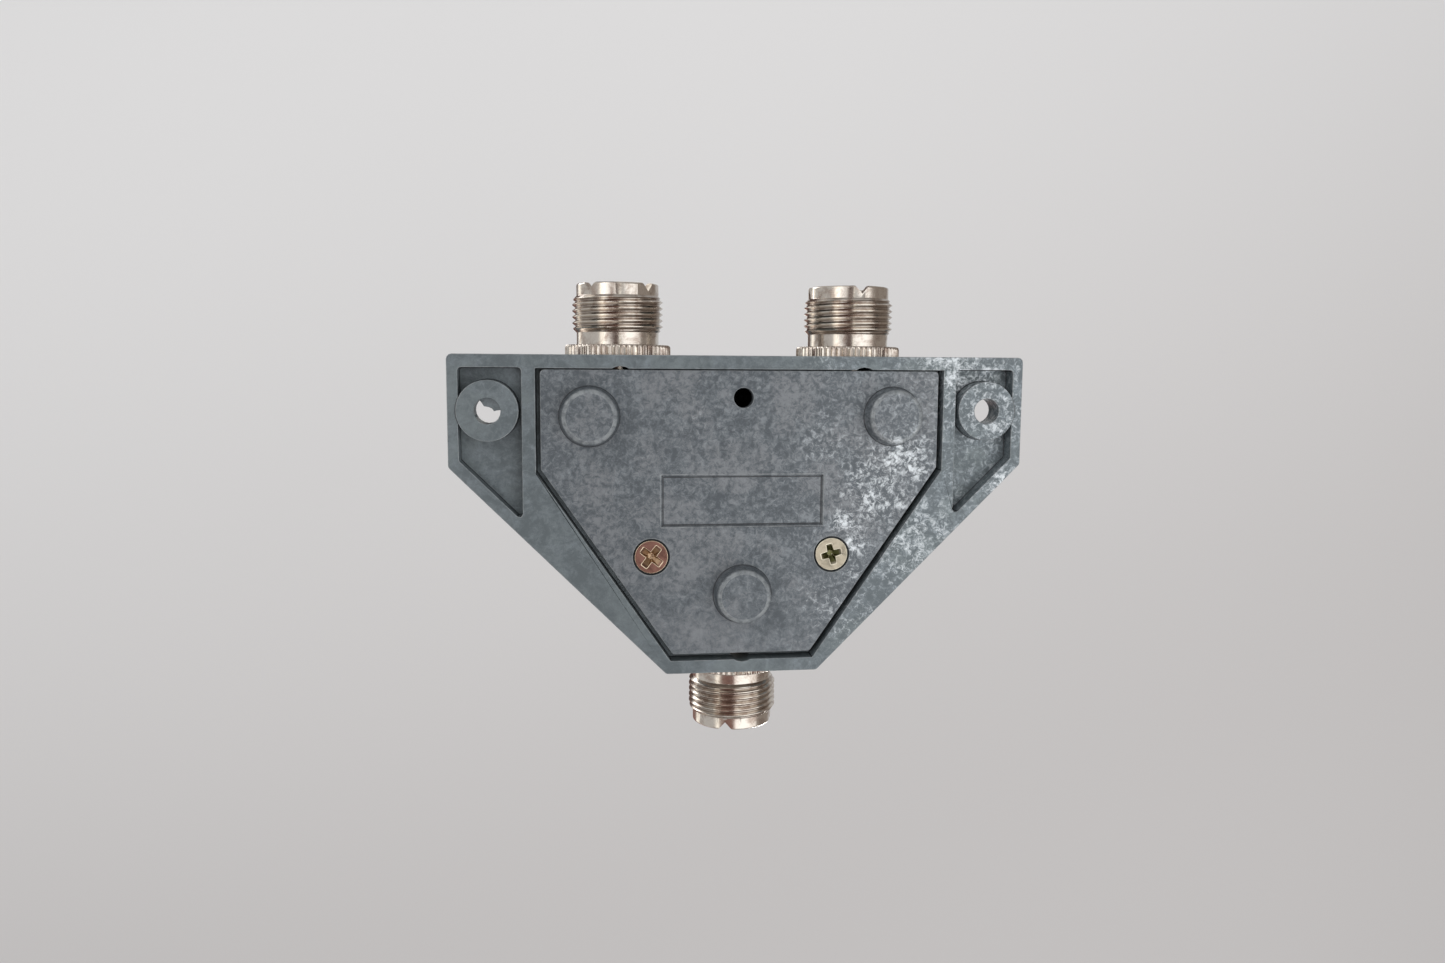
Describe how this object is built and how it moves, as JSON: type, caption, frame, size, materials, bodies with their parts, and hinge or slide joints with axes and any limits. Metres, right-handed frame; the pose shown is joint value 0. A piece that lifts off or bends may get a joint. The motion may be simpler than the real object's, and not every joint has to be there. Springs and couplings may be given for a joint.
{
  "type": "coaxial switch",
  "caption": "Die-cast coaxial aerial switch with threaded sockets, a screwed back cover on round feet, mounting ears and a detented front knob.",
  "frame": {"origin": "under the knob's axis, on the plane of the three feet", "axes": "+X along the two mounting ears towards output 2, +Y towards the two output sockets, +Z out of the front face towards the knob"},
  "size_m": [0.0982, 0.0794, 0.0432],
  "materials": {
    "casting": "bare zinc die casting, blue-grey, mottled, with pale specks",
    "cover_casting": "bare zinc die casting, blue-grey, mottled, with a few scratches",
    "screw_plating": "yellow zinc plate on steel",
    "nickel_plate": "bright nickel plate on turned brass",
    "insulation": "off-white moulded insulation",
    "contact_metal": "silver plate on brass",
    "steel": "plain turned steel",
    "brass": "turned brass",
    "knob_plastic": "black moulded plastic"
  },
  "bodies": {
    "case": {"housing": "casting", "back_cover": "cover_casting", "cover_screw_left": "screw_plating", "cover_screw_right": "screw_plating", "socket_body_1": "nickel_plate", "socket_body_2": "nickel_plate", "socket_body_common": "nickel_plate", "socket_insulator_1": "insulation", "socket_insulator_2": "insulation", "socket_insulator_common": "insulation", "socket_contact_1": "contact_metal", "socket_contact_2": "contact_metal", "socket_contact_common": "contact_metal", "socket_nut_1": "nickel_plate", "socket_nut_2": "nickel_plate", "socket_nut_common": "nickel_plate", "fixed_contact_1": "contact_metal", "fixed_contact_2": "contact_metal", "fixed_contact_common": "contact_metal", "shaft_bushing": "brass", "bushing_washer": "steel", "bushing_nut": "nickel_plate", "detent_spring": "steel"},
    "selector": {"shaft": "steel", "detent_wheel": "steel", "rotor_disc": "insulation", "contact_blade": "contact_metal", "ground_plate": "brass", "retaining_clip": "steel", "knob": "knob_plastic", "knob_insert": "brass", "knob_grub_screw": "steel"}
  },
  "joints": [
    {"name": "knob_turn", "type": "hinge", "parent": "case", "child": "selector", "pos_m": [0, 0, 0.0344], "axis": [0, 0, -1], "range_deg": [0, 60], "deforming": ["detent_spring"]}
  ]
}
